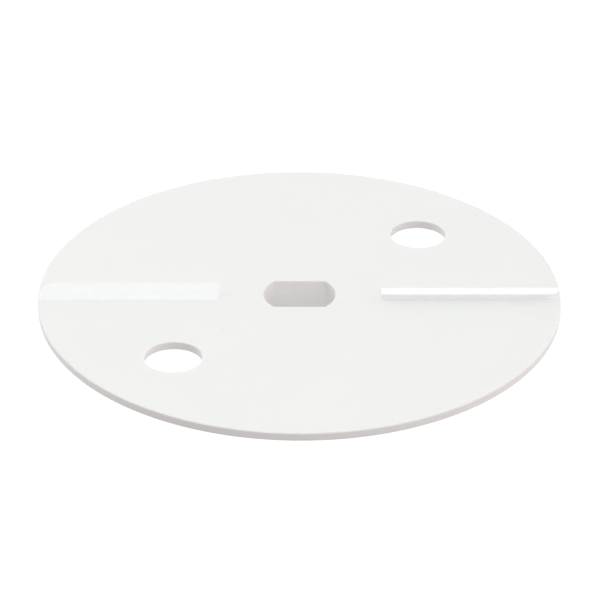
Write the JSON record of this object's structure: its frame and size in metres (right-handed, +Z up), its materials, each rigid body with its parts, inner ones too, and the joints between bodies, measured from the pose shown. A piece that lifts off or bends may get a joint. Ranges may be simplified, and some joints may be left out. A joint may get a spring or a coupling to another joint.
{
  "type": "ejector plate",
  "caption": "Thin white plastic disc that sweeps cut food out of a vegetable cutter, with wedge-shaped vanes and finger holes on top and a keyed hub below.",
  "frame": {"origin": "centre of the hub's lower face, on the drive shaft's axis", "axes": "+Z up along the drive shaft's axis, +X along the vanes, towards the vane whose steep face looks to -Y"},
  "size_m": [0.185, 0.185, 0.0171],
  "materials": {
    "plate_plastic": "satin white moulded plastic",
    "hub_plastic": "satin white turned plastic",
    "vane_plastic": "smooth glossy white plastic"
  },
  "bodies": {
    "root": {"ejector_plate": "plate_plastic", "drive_hub": "hub_plastic", "vane_right": "vane_plastic", "vane_left": "vane_plastic"}
  },
  "joints": []
}
